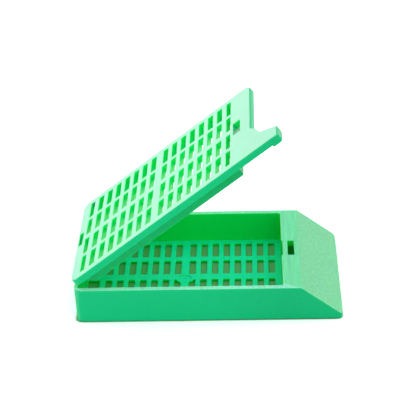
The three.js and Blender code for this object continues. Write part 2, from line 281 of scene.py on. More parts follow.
class FlatSolid:
    """A closed solid of triangles, read as flat faces that meet along outlines.

    Each triangle has three half-edges; a half-edge's twin is the same edge on the neighbour. A
    flat face is a set of triangles joined across edges with almost no angle. Its outline runs
    along the half-edges whose twin is on another face, with the face on the left.
    """

    def __init__(self, points: np.ndarray, triangles: np.ndarray) -> None:
        """Finds the faces and outlines of a solid.

        Args:
            points: corner places, one row each, in millimetres.
            triangles: three point numbers in a row, turning left seen from outside.
        """
        self.points = points
        self.start = triangles.T.ravel()
        self.end = np.roll(triangles, -1, axis=1).T.ravel()
        self.owner = np.tile(np.arange(len(triangles)), 3)
        self.twin = self._twins()
        sides = points[triangles[:, [1, 2, 0]]] - points[triangles]
        crossed = np.cross(sides[:, 0], -sides[:, 2])
        self.face = self._flat_faces(crossed, np.linalg.norm(sides, axis=2))
        normals = np.zeros((self.face.max() + 1, 3))
        np.add.at(normals, self.face, crossed)
        self.normal = unit(normals)
        self.rim, self.loop = self._outlines()
        self.rim_face = self.face[self.owner[self.rim]]
        self.loop_first = np.flatnonzero(np.diff(self.loop, prepend=-1))
        self.after, self.before = self._neighbours()
        self.room = self._room_beside_rims()

    def _twins(self) -> np.ndarray:
        """For each half-edge, the number of the same edge's other half."""
        low = np.minimum(self.start, self.end)
        high = np.maximum(self.start, self.end)
        order = np.lexsort((high, low))
        twin = np.empty(len(order), dtype=int)
        twin[order[0::2]] = order[1::2]
        twin[order[1::2]] = order[0::2]
        return twin

    def _flat_faces(self, crossed: np.ndarray, lengths: np.ndarray) -> np.ndarray:
        """Numbers the flat faces by spreading the lowest triangle number over each.

        A thin triangle's direction is less sure, so it may bend more, and one that is thinner
        still has none, so it joins its neighbour over its longest side.

        Args:
            crossed: twice the area vector of each triangle.
            lengths: the three side lengths of each triangle.

        Returns:
            The face number of each triangle.
        """
        height = np.linalg.norm(crossed, axis=1) / lengths.max(axis=1)
        thin, thinnest = height < THIN, height < THINNEST
        direction = unit(crossed)
        other = self.owner[self.twin]
        cosine = (direction[self.owner] * direction[other]).sum(axis=1)
        most_bend = np.where(thin[self.owner] | thin[other], THIN_BEND, FLAT_BEND)
        flat = cosine > np.cos(np.radians(most_bend))
        flat &= ~thinnest[self.owner] & ~thinnest[other]
        longest = lengths.max(axis=1)
        flat |= thinnest[self.owner] & (lengths.T.ravel() == longest[self.owner])
        face = joined(np.arange(len(crossed)), self.owner[flat], other[flat])
        total = np.zeros((face.max() + 1, 3))
        np.add.at(total, face, crossed)
        normal = unit(total)
        mine, theirs = face[self.owner], face[other]
        same = (normal[mine] * normal[theirs]).sum(axis=1) > math.cos(math.radians(FLAT_BEND))
        return self._merge_slivers(joined(face, mine[same], theirs[same]), crossed)

    def _merge_slivers(self, face: np.ndarray, crossed: np.ndarray) -> np.ndarray:
        """Gives each sliver, a face with almost no width, to the neighbour that it belongs to.

        That is the one along most of its outline, and rather one that looks the same way.

        Args:
            face: the face number of each triangle.
            crossed: twice the area vector of each triangle.

        Returns:
            The face number of each triangle, without slivers.
        """
        length = np.linalg.norm(self.points[self.end] - self.points[self.start], axis=1)
        while True:
            count = face.max() + 1
            area = np.zeros((count, 3))
            np.add.at(area, face, crossed)
            mine, theirs = face[self.owner], face[self.owner[self.twin]]
            edge = mine != theirs
            around = np.bincount(mine[edge], length[edge], count)
            slivers = np.flatnonzero(np.linalg.norm(area, axis=1) / around < THIN / 2)
            if not len(slivers):
                return face
            normal = unit(area)
            sliver = slivers[0]
            beside = edge & (mine == sliver)
            alike = normal[theirs[beside]] @ normal[sliver] > LIKENESS
            weight = length[beside] * np.where(alike, LIKE_WEIGHT, 1.0)
            shared = np.bincount(theirs[beside], weight)
            face = np.where(face == sliver, int(shared.argmax()), face)
            face = np.unique(face, return_inverse=True)[1]

    def _outlines(self) -> tuple[np.ndarray, np.ndarray]:
        """Orders the rim half-edges along their outlines.

        Each rim half-edge points to the next one of its face. Doubling those steps gives the
        lowest number on each outline, and how many steps away it is.

        Returns:
            The rim half-edges, outline after outline, and each one's outline number.
        """
        face = self.face[self.owner]
        rim = np.flatnonzero(face != face[self.twin])
        count = len(self.points)
        begins = face[rim] * count + self.start[rim]
        order = np.argsort(begins)
        ends = face[rim] * count + self.end[rim]
        follow = order[np.searchsorted(begins[order], ends)]
        lowest, jump = np.arange(len(rim)), follow.copy()
        for _ in range(len(rim).bit_length()):
            lowest = np.minimum(lowest, lowest[jump])
            jump = jump[jump]
        first = lowest == np.arange(len(rim))
        steps = np.where(first, 0, 1)
        jump = np.where(first, np.arange(len(rim)), follow)
        for _ in range(len(rim).bit_length()):
            steps = steps + steps[jump]
            jump = jump[jump]
        along = np.lexsort((-np.where(first, len(rim), steps), lowest))
        return rim[along], np.unique(lowest[along], return_inverse=True)[1]

    def _neighbours(self) -> tuple[np.ndarray, np.ndarray]:
        """The places in the rim order of the half-edges after and before each one.

        Returns:
            The place of the next half-edge on the same outline, and that of the one before.
        """
        place = np.arange(len(self.rim))
        first = np.searchsorted(self.loop, self.loop, side="left")
        last = np.searchsorted(self.loop, self.loop, side="right") - 1
        after = np.where(place == last, first, place + 1)
        before = np.where(place == first, last, place - 1)
        return after, before

    def places(self, face: int) -> np.ndarray:
        """A face's places in the rim order."""
        return np.flatnonzero(self.rim_face == face)

    def holed(self, places: np.ndarray) -> bool:
        """Whether the face with these places in the rim order has more than one outline."""
        return bool(self.loop[places[0]] != self.loop[places[-1]])

    def axes(self, face: int) -> np.ndarray:
        """Two unit vectors in a face's plane, as the columns of a 3 by 2 array.

        Args:
            face: the face's number.

        Returns:
            The vectors; the second is a quarter turn left of the first, seen from outside.
        """
        normal = self.normal[face]
        across = np.eye(3)[np.argmin(np.abs(normal))]
        first = unit(np.cross(across, normal))
        return np.stack([first, np.cross(normal, first)], axis=1)

    def centres(self) -> np.ndarray:
        """The middle of each face's outlines, in millimetres."""
        total = np.zeros((len(self.normal), 3))
        np.add.at(total, self.rim_face, self.points[self.start[self.rim]])
        return total / np.bincount(self.rim_face, minlength=len(self.normal))[:, None]

    def widest_loop(self, face: int) -> tuple[int, np.ndarray]:
        """Tells a face's outer outline from its holes.

        Args:
            face: the face's number.

        Returns:
            The outer outline's number, and those of all the face's outlines.
        """
        loops = np.unique(self.loop[self.places(face)])
        reach = [np.ptp(self.points[self.start[self.rim[self.loop == loop]], 1]) for loop in loops]
        return int(loops[int(np.argmax(reach))]), loops

    def most_holed(self, direction: np.ndarray) -> int:
        """The face with the most outlines among those that look in a direction."""
        outlines = np.bincount(self.rim_face[self.loop_first], minlength=len(self.normal))
        return int(np.argmax(np.where(self.normal @ direction > STEEP, outlines, 0)))

    def hole_walls(self, face: int) -> np.ndarray:
        """Whether each face of the solid stands on the edge of a hole in one face.

        Args:
            face: the number of the face with the holes.

        Returns:
            True for the walls of the holes.
        """
        outer, loops = self.widest_loop(face)
        edge = np.isin(self.loop, loops) & (self.loop != outer)
        walls = np.zeros(len(self.normal), dtype=bool)
        walls[self.face[self.owner[self.twin[self.rim[edge]]]]] = True
        return walls

    def _room_beside_rims(self) -> np.ndarray:
        """How far each rim half-edge lies from what faces it across its own flat face.

        Returns:
            The room beside each half-edge, in millimetres; a very long one for inner edges.
        """
        room = np.full(len(self.start), FAR)
        local = np.empty(len(self.rim), dtype=int)
        for face in range(len(self.normal)):
            places = self.places(face)
            local[places] = np.arange(len(places))
            room[self.rim[places]] = self._room_on_face(face, places, local)
        return room

    def _room_on_face(self, face: int, places: np.ndarray, local: np.ndarray) -> np.ndarray:
        """The room beside each half-edge of one face's outlines.

        Rays leave both ends and the middle of each half-edge at a right angle, inwards. On a
        face with holes one more leaves each corner along the line that halves it. Each is
        crossed with every half-edge of the face, and what it meets has no more room than it.

        Args:
            face: the face's number.
            places: its places in the rim order.
            local: which of its own face's places each place of the rim order is.

        Returns:
            The room beside each, in millimetres.
        """
        axes, rims = self.axes(face), self.rim[places]
        a, b = self.points[self.start[rims]] @ axes, self.points[self.end[rims]] @ axes
        inward = quarter_turn(unit(b - a))
        own = np.full(len(places), FAR)
        for share in RAY_SHARES:
            reach = cast_rays(a + share * (b - a), inward, a, b)
            own = np.minimum(own, np.minimum(reach.min(axis=1), reach.min(axis=0)))
        if self.holed(places):
            before = inward[local[self.before[places]]]
            corner = CORNER_SHARE * cast_rays(a, unit(before + inward), a, b)
            at_start = corner.min(axis=1)
            own = np.minimum(own, np.minimum(at_start, corner.min(axis=0)))
            own = np.minimum(own, at_start[local[self.after[places]]])
        return own


def quarter_turn(flat: np.ndarray) -> np.ndarray:
    """The two-column vectors turned a quarter turn to the left."""
    return np.stack([-flat[:, 1], flat[:, 0]], axis=1)


def segments_cross(a: np.ndarray, b: np.ndarray, c: np.ndarray, d: np.ndarray) -> np.ndarray:
    """Whether each segment from a to b (row) crosses each one from c to d (column)."""

    def side(start: np.ndarray, end: np.ndarray, spot: np.ndarray) -> np.ndarray:
        """On which side of each line (row) each spot (column) lies, and how far."""
        left = quarter_turn(unit(end - start))
        return (left[:, None] * (spot[None] - start[:, None])).sum(axis=2)

    apart = side(a, b, c) * side(a, b, d) < -NOTHING
    return apart & (side(c, d, a) * side(c, d, b) < -NOTHING).T


def cast_rays(
    origin: np.ndarray, direction: np.ndarray, a: np.ndarray, b: np.ndarray
) -> np.ndarray:
    """Crosses every ray in a plane with every segment.

    Args:
        origin: where the rays start.
        direction: their unit directions.
        a: one end of each segment.
        b: the other end of each segment.

    Returns:
        How far each ray (row) goes to each segment (column), and a very long way for a miss.
    """
    across = quarter_turn(b - a)
    length = np.linalg.norm(across, axis=1)
    offset = a[None] - origin[:, None]
    slant = direction @ across.T
    slant = np.where(np.abs(slant) < TINY, TINY, slant)
    reach = (offset * across[None]).sum(axis=2) / slant
    place = (offset * quarter_turn(direction)[:, None]).sum(axis=2) / slant
    slack = TOUCH / np.maximum(length, TOUCH)
    hit = (reach > TOUCH) & (place > -slack) & (place < 1 + slack)
    hit &= np.abs(slant) > FACING * length
    return np.where(hit, reach, FAR)


def read_solid(node: bpy.types.Object) -> FlatSolid:
    """Merges a copy of a frame node's mesh and reads its flat faces.

    Args:
        node: the node's object, whose mesh is loose triangles.

    Returns:
        The solid in millimetres.
    """
    copy = bmesh.new()
    copy.from_mesh(node.data)
    bmesh.ops.remove_doubles(copy, verts=copy.verts, dist=MERGE_DISTANCE)
    merged = bpy.data.meshes.new("merged")
    copy.to_mesh(merged)
    copy.free()
    points = np.empty(len(merged.vertices) * 3)
    merged.vertices.foreach_get("co", points)
    corners = np.empty(len(merged.polygons) * 3, dtype=int)
    merged.polygons.foreach_get("vertices", corners)
    bpy.data.meshes.remove(merged)
    return FlatSolid(points.reshape(-1, 3) / MM, corners.reshape(-1, 3))


@dataclass(frozen=True)
class EdgeRule:
    """The radii that a mould leaves on the edges of a part, in millimetres.

    Attributes:
        radius: radius of an ordinary edge, outer or inner.
        land: width of the strip that a holed face keeps along its outlines.
        margin: how many times wider than its radius the land beside an edge is.
        share: the most of the room beside an edge that its land takes.
        sharpest: bend in degrees above which two faces meet in an edge.
        gentlest: cosine of the turn under which an outline runs on round a curve.
        segments: flat steps in a radius.
        taper: growth of a radius from edge to edge, as a share of what a turn leaves.
        tries: how often lands that cross are narrowed.
        step: what is left of such a land each time.
    """

    radius: float = 0.12
    land: float = 0.2
    margin: float = 1.2
    share: float = 0.46
    sharpest: float = 20.0
    gentlest: float = 0.8
    segments: int = 3
    taper: float = 0.4
    tries: int = 16
    step: float = 0.7


class Skin:
    """The surface of a solid, with clean faces and a radius for each edge.

    Attributes:
        solid: the solid.
        rule: the rule for its edges.
        inward: which way the face lies, at each place of the rim order.
        gentle: whether the outline runs on round a curve there.
        width: how wide the land is there.
        at_start: how wide it is at the start of the half-edge.
        inner: where the start lies once it has moved over the land.
        radius: the radius of the edge, and 0 where two faces run on smoothly.
    """

    def __init__(self, solid: FlatSolid, rule: EdgeRule, wish: np.ndarray) -> None:
        """Works out the lands and radii.

        Args:
            solid: the solid.
            rule: the rule for its edges.
            wish: radius asked for at each place of the rim order, in millimetres.
        """
        self.solid = solid
        self.rule = rule
        rim = solid.rim
        place = np.empty(len(solid.start), dtype=int)
        place[rim] = np.arange(len(rim))
        twin = place[solid.twin[rim]]
        normal = solid.normal[solid.rim_face]
        sharpest = math.cos(math.radians(rule.sharpest))
        sharp = (normal * normal[twin]).sum(axis=1) < sharpest
        wish = np.maximum(wish, wish[twin])
        room = solid.room[rim]
        self.width = np.minimum(np.maximum(rule.land, rule.margin * wish), rule.share * room)
        along = unit(solid.points[solid.end[rim]] - solid.points[solid.start[rim]])
        self.inward = np.cross(normal, along)
        self.gentle = (along * along[solid.before]).sum(axis=1) > rule.gentlest
        self.at_start, self.inner = self._inset()
        self._narrow_lands()
        at_end = self.at_start[solid.after]
        at_end = np.where(self.gentle[solid.after], at_end, self.width)
        radius = np.minimum(wish, np.minimum(self.at_start, at_end) / rule.margin)
        self.radius = self._even(np.where(sharp, radius, FAR), twin)
        self.radius[~sharp] = 0.0

    def _even(self, radius: np.ndarray, twin: np.ndarray) -> np.ndarray:
        """Evens the radii of edges that run on from one another.

        From edge to edge a radius may grow by no more than their turn leaves room for.

        Args:
            radius: the radius of each edge.
            twin: the place of each edge's other half.

        Returns:
            The evened radii.
        """
        solid = self.solid
        sides = solid.points[solid.end[solid.rim]] - solid.points[solid.start[solid.rim]]
        length = np.linalg.norm(sides, axis=1)
        along = unit(sides)
        turn = np.linalg.norm(np.cross(along, along[solid.before]), axis=1)
        growth = self.rule.taper * np.minimum(length, length[solid.before]) * turn
        growth = np.where(self.gentle, growth, FAR)
        while True:
            least = np.minimum(radius, radius[twin])
            back = least[solid.before] + growth
            ahead = least[solid.after] + growth[solid.after]
            least = np.minimum(least, np.minimum(back, ahead))
            if np.array_equal(least, radius):
                return radius
            radius = least

    def _inset(self) -> tuple[np.ndarray, np.ndarray]:
        """Moves the start of every rim half-edge inwards over its face, by the land's width.

        At a corner the new point is where the two neighbouring lines cross, after each has
        moved inwards by its own width. Where the outline runs on, it moves by the smaller.

        Returns:
            The width at the start of each half-edge, and the moved points.
        """
        before = self.inward[self.solid.before]
        width, width_before = self.width, self.width[self.solid.before]
        at_start = np.where(self.gentle, np.minimum(width, width_before), width)
        one = np.where(self.gentle, at_start, width_before)
        cosine = (before * self.inward).sum(axis=1).clip(SHARPEST_TURN, 1.0)
        straight = cosine > STRAIGHT_ON
        least = np.maximum(1.0 - cosine**2, TINY)
        along_before = np.where(straight, one / 2, (one - cosine * at_start) / least)
        along_this = np.where(straight, one / 2, (at_start - cosine * one) / least)
        move = along_before[:, None] * before + along_this[:, None] * self.inward
        return at_start, self.solid.points[self.solid.start[self.solid.rim]] + move

    def _narrow_lands(self) -> None:
        """Narrows the lands that cross one another, step by step, until none does."""
        solid = self.solid
        for number in np.unique(solid.rim_face):
            mine = solid.places(number)
            if not solid.holed(mine):
                continue
            axes = solid.axes(number)
            a = solid.points[solid.start[solid.rim[mine]]] @ axes
            b = solid.points[solid.end[solid.rim[mine]]] @ axes
            for _ in range(self.rule.tries):
                c, d = self.inner[mine] @ axes, self.inner[solid.after[mine]] @ axes
                cross = segments_cross(c, d, c, d) | segments_cross(c, d, a, b)
                bad = cross.any(axis=1) | (((d - c) * (b - a)).sum(axis=1) <= 0)
                if not bad.any():
                    break
                narrow = mine[bad]
                spots = np.unique([solid.before[narrow], narrow, solid.after[narrow]])
                self.width[spots] *= self.rule.step
                self.at_start, self.inner = self._inset()
            else:
                log.warning("lands still cross on face %d", number)

    def faces(self) -> tuple[np.ndarray, list[tuple[int, ...]], list[int]]:
        """Makes the faces again from their outlines.

        A face with one outline becomes one polygon. A face with holes gets a land, a strip
        carried along every outline, and the flat inside the lands is filled by triangles.

        Returns:
            The points in millimetres, the faces as point numbers, and the number of the
            solid's face that each one is a part of.
        """
        solid = self.solid
        points = [solid.points]
        count = len(solid.points)
        faces: list[tuple[int, ...]] = []
        source: list[int] = []
        inset = np.empty(len(solid.rim), dtype=int)
        firsts = np.sort(np.unique(solid.rim_face, return_index=True)[1])
        for face in solid.rim_face[firsts].tolist():
            mine = solid.places(face)
            rims = solid.rim[mine]
            if not solid.holed(mine):
                faces.append(tuple(solid.start[rims].tolist()))
                source.append(face)
                continue
            here = np.arange(count, count + len(mine))
            inset[mine] = here
            ahead = inset[solid.after[mine]]
            land = np.stack([solid.start[rims], solid.end[rims], ahead, here], axis=1)
            faces.extend(map(tuple, land.tolist()))
            rings = np.stack([here, ahead], axis=1)
            faces.extend(self._fill(self.inner[mine] @ solid.axes(face), rings))
            source.extend([face] * (len(faces) - len(source)))
            points.append(self.inner[mine])
            count += len(mine)
        return np.concatenate(points), faces, source

    def _fill(self, flat: np.ndarray, rings: np.ndarray) -> list[tuple[int, ...]]:
        """Fills the area between closed rings in a plane with triangles.

        Args:
            flat: places of the rings' points in the plane.
            rings: edges of the rings, as pairs of point numbers in the whole mesh.

        Returns:
            The triangles as point numbers in the whole mesh.
        """
        first = int(rings.min())
        edges = [tuple(pair) for pair in (rings - first).tolist()]
        spots = [Vector(spot) for spot in flat.tolist()]
        filled = delaunay_2d_cdt(spots, edges, [], CDT_INSIDE, CDT_REACH)
        corners, origins = filled[2:4]
        source = np.array([origin[0] if origin else -1 for origin in origins])
        if (source < 0).any():
            log.warning("%d lands cross", (source < 0).sum())
        triangles = source[np.array(corners)]
        middle = flat[triangles].mean(axis=1)
        a, b = flat[rings[:, 0] - first], flat[rings[:, 1] - first]
        height = middle[:, 1, None]
        spans = (a[None, :, 1] > height) != (b[None, :, 1] > height)
        rise = np.where(a[:, 1] == b[:, 1], 1.0, b[:, 1] - a[:, 1])
        crossing = a[:, 0] + (height - a[:, 1]) * (b[:, 0] - a[:, 0]) / rise
        inside = (spans & (crossing > middle[:, 0, None])).sum(axis=1) % 2 == 1
        return list(map(tuple, (first + triangles[inside]).tolist()))


# ---------------------------------------------------------------- finishes


Colour = tuple[float, float, float]


class Finish(Enum):
    """How a face of the mould was finished: its share of the fine grain, and its roughness."""

    POLISHED = (0.0, 0.34)
    DRAWN = (0.35, 0.44)
    ERODED = (1.0, 0.42)
    DULL = (0.0, 0.85)


@dataclass(frozen=True)
class Acetal:
    """Acetal moulded in mint green, more saturated where light reaches it through the plastic.

    Attributes:
        outer: colour of an outer face.
        plate: colour of the top of the lid, paler than the outer faces as a painted sheen.
        shelf: colour of the top of the base, paler than the outer faces as a painted sheen.
        rim: colour of the top of the front wall, paler still as a painted highlight against the
            lid's shade.
        floor: colour of the slotted floor inside, brighter than the outer faces as painted light in
            the shaded well.
        wall: colour of an inner wall, a deeper green as painted light that passes through the
            plastic and between the walls.
        slot: colour of the wall of a slot in the base, a deeper green as painted light through the
            plastic.
        lid_slot: colour of the wall of a slot in the lid, a deeper green as painted light through
            the plastic.
        skirt: colour of the lid's skirt, darker than the outer faces as a painted shade under the
            plate.
        frosted_and_sheen: colour of the eroded slope, paler both for its matt erosion and as a
            painted sheen.
        thin: colour of the rear corners, through which light shines.
        index: refractive index of the surface.
        glow: share of light that travels inside the plastic.
        reach: how far red, green and blue travel there, in millimetres.
        mottle: how much the colour varies from place to place.
        contrast: how many times more it varies with the grain and the lines.
        fine: the grain of an eroded face.
        drawn: the lines of a drawn face.
        clouds: the slow change of the colour.
        lines: weight of the drawn lines.
        line_height: how high they stand, as a share of the grain.
        relief: how high the grain stands, in millimetres.
        bump: share of the relief that shows.
        worn: between which places along X a faint grain comes up on the polish, in millimetres.
        worn_grain: share of the grain that comes up there.
        worn_shade: how much darker it is there.
    """

    outer: Colour = (0.0, 0.62, 0.245)
    # painted sheen: the lid's top is paler than its outer faces
    plate: Colour = (0.25, 0.8, 0.5)
    # painted sheen: the base's tops are paler than its outer faces
    shelf: Colour = (0.19, 0.92, 0.475)
    # painted highlight: the top of the front wall, which the lid shades, is paler still
    rim: Colour = (0.35, 1.0, 0.72)
    # painted light: the floor in the well is brighter than the outer faces
    floor: Colour = (0.0, 1.0, 0.46)
    # painted light: inner walls are a deeper green, for light through the plastic and between the
    # walls
    wall: Colour = (0.0, 0.78, 0.12)
    # painted light: the base's slot walls are a deeper green
    slot: Colour = (0.0, 0.8, 0.06)
    # painted light: the lid's slot walls are a deeper green
    lid_slot: Colour = (0.0, 0.9, 0.16)
    # painted shade: the lid's skirt is darker than its outer faces
    skirt: Colour = (0.0, 0.52, 0.17)
    thin: Colour = (0.03, 0.66, 0.285)
    # paler for the matt erosion, and as a painted sheen
    frosted_and_sheen: Colour = (0.205, 0.79, 0.385)
    index: float = 1.25
    glow: float = 0.5
    reach: Colour = (0.02, 1.0, 0.25)
    mottle: float = 0.06
    contrast: float = 8.0
    fine: Pattern = Pattern((2.4, 2.4, 2.4), 3.0)
    drawn: Pattern = Pattern((3.0, 0.12, 0.12), 1.0)
    clouds: Pattern = Pattern((0.15, 0.15, 0.15), 2.0)
    lines: float = 3.0
    line_height: float = 0.4
    relief: float = 0.03
    bump: float = 0.6
    worn: tuple[float, float] = (-2.0, 14.0)
    worn_grain: float = 0.3
    worn_shade: float = 0.12

    def dress(self, piece: bpy.types.Object) -> None:
        """Gives a piece the plastic, tinted and grained face by face.

        Args:
            piece: the piece, whose mesh has the tint and the grain of each face.
        """
        material = bpy.data.materials.new(f"acetal_{piece.name}")
        graph = Graph(material)
        tint = graph.add("ShaderNodeAttribute", {"attribute_name": TINT}, output="Color")
        named = {"attribute_name": ROUGHNESS}
        light, height = self._grain(graph, tint.output("Alpha"))
        relief = {"Strength": self.bump, "Distance": self.relief * MM, "Height": height}
        inputs = {
            "Base Color": graph.scaled(tint, light),
            "Roughness": graph.add("ShaderNodeAttribute", named, output="Fac"),
            "Normal": graph.add("ShaderNodeBump", {}, relief),
            "IOR": self.index,
            "Subsurface Weight": self.glow,
            "Subsurface Radius": self.reach,
            "Subsurface Scale": MM,
        }
        graph.finish(graph.add("ShaderNodeBsdfPrincipled", {}, inputs))
        piece.data.materials.append(material)

    def _grain(self, graph: Graph, share: Socket) -> tuple[Socket, Socket]:
        """The grain, the drawn lines and the clouds; lines show where the share is near half.

        Args:
            graph: the material's graph.
            share: each face's share of the grain.

        Returns:
            How light the colour is, around 1, and how high the surface stands.
        """
        place = graph.add("ShaderNodeTexCoord", output="Object")
        along_x = graph.add("ShaderNodeSeparateXYZ", inputs={0: place})
        worn = along_x.ramp(self.worn[0] * MM, self.worn[1] * MM)
        grain = share.above(self.worn_grain * worn)
        lines = self.lines * share * (1.0 - share)
        fine, drawn = graph.noise(place, self.fine), graph.noise(place, self.drawn)
        cloud = graph.noise(place, self.clouds) - NOISE_MEAN
        speckle = (fine - NOISE_MEAN) * grain + (drawn - NOISE_MEAN) * lines
        light = 1.0 + self.mottle * (self.contrast * speckle + cloud) - self.worn_shade * worn
        return light, fine * grain + self.line_height * drawn * lines


# ---------------------------------------------------------------- the mouldings


def paint(tint: np.ndarray, chosen: np.ndarray, colour: Colour, finish: Finish) -> None:
    """Gives the chosen faces a colour and a finish.

    Args:
        tint: a row for each face, which is changed.
        chosen: whether each face is chosen.
        colour: red, green and blue.
        finish: how the mould was finished there.
    """
    tint[chosen] = (*colour, *finish.value)


@dataclass
class Moulding:
    """One moulded piece: the skin of a frame node, with radii on its edges.

    Attributes:
        node: the frame node that the piece stands for.
        body: the body that it rides on.
        name: the piece's own name.
        rule: radii of its edges.
        finish: what it is moulded in.
    """

    node: str
    body: str
    name: str
    rule: EdgeRule
    finish: Acetal

    def wished_radii(self, solid: FlatSolid) -> np.ndarray:
        """The radius asked for at each place of the rim order; here the same everywhere."""
        return np.full(len(solid.rim), self.rule.radius)

    def tints(self, solid: FlatSolid) -> np.ndarray:
        """The colour, grain and roughness of each face of the solid; here the same for all."""
        return np.tile((*self.finish.outer, *Finish.POLISHED.value), (len(solid.normal), 1))

    def touch_up(self, tint: np.ndarray, middles: np.ndarray) -> None:
        """Changes the tint of single facets of the mesh by their middles; here of none."""

    def _tint_faces(self, mesh: bpy.types.Mesh, tint: np.ndarray) -> None:
        """Stores the colour, grain and roughness of each face on the mesh."""
        layer = mesh.attributes.new(TINT, "FLOAT_COLOR", "FACE")
        layer.data.foreach_set("color", tint[:, :4].ravel())
        rough = mesh.attributes.new(ROUGHNESS, "FLOAT", "FACE")
        rough.data.foreach_set("value", np.ascontiguousarray(tint[:, 4]))

    def build(self, frame: dict[str, Any]) -> bpy.types.Object:
        """Makes the piece's mesh and gives it its radii and its plastic.

        Args:
            frame: the loaded frame.

        Returns:
            The finished piece, in the frame's place.
        """
        solid = read_solid(frame["nodes"][self.node])
        skin = Skin(solid, self.rule, self.wished_radii(solid))
        points, faces, source = skin.faces()
        mesh = bpy.data.meshes.new(self.name)
        mesh.from_pydata((points * MM).tolist(), [], faces)
        mesh.update()
        widest = float(skin.radius.max())
        self._weigh_edges(mesh, solid, skin.radius / widest)
        mesh.polygons.foreach_set("use_smooth", np.ones(len(mesh.polygons), dtype=bool))
        piece = bpy.data.objects.new(self.name, mesh)
        bpy.context.scene.collection.objects.link(piece)
        self._round_edges(piece, widest)
        tint = self.tints(solid)[source]
        middles = np.empty(len(faces) * 3)
        mesh.polygons.foreach_get("center", middles)
        self.touch_up(tint, middles.reshape(-1, 3) / MM)
        self._tint_faces(mesh, tint)
        self.finish.dress(piece)
        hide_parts(self.node)
        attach(piece, self.body)
        log.info("%s: %d faces, widest radius %.2f mm", self.name, len(faces), widest)
        return piece

    def _weigh_edges(self, mesh: bpy.types.Mesh, solid: FlatSolid, weight: np.ndarray) -> None:
        """Stores each outline edge's share of the widest radius on the mesh.

        Args:
            mesh: the piece's mesh, whose first points are the solid's.
            solid: the solid that it came from.
            weight: share of the widest radius at each place of the rim order.
        """
        count = len(mesh.vertices)
        ends = np.empty(len(mesh.edges) * 2, dtype=int)
        mesh.edges.foreach_get("vertices", ends)
        ends = np.sort(ends.reshape(-1, 2), axis=1)
        keys = ends[:, 0] * count + ends[:, 1]
        rim = solid.rim
        low = np.minimum(solid.start[rim], solid.end[rim])
        high = np.maximum(solid.start[rim], solid.end[rim])
        rim_keys = low * count + high
        order = np.argsort(rim_keys)
        found = np.searchsorted(rim_keys[order], keys).clip(max=len(rim) - 1)
        match = rim_keys[order][found] == keys
        values = np.where(match, weight[order][found], 0.0)
        layer = mesh.attributes.new("bevel_weight_edge", "FLOAT", "EDGE")
        layer.data.foreach_set("value", values)

    def _round_edges(self, piece: bpy.types.Object, widest: float) -> None:
        """Adds the radii and evens the shading of the flats beside them.

        Args:
            piece: the piece's object.
            widest: the widest radius, in millimetres.
        """
        radii = piece.modifiers.new("radii", "BEVEL")
        radii.limit_method = "WEIGHT"
        radii.width = widest * MM
        radii.segments = self.rule.segments
        radii.use_clamp_overlap = False
        radii.loop_slide = False
        radii.face_strength_mode = "FSTR_ALL"
        shading = piece.modifiers.new("flats", "WEIGHTED_NORMAL")
        shading.use_face_influence = True
        shading.keep_sharp = False


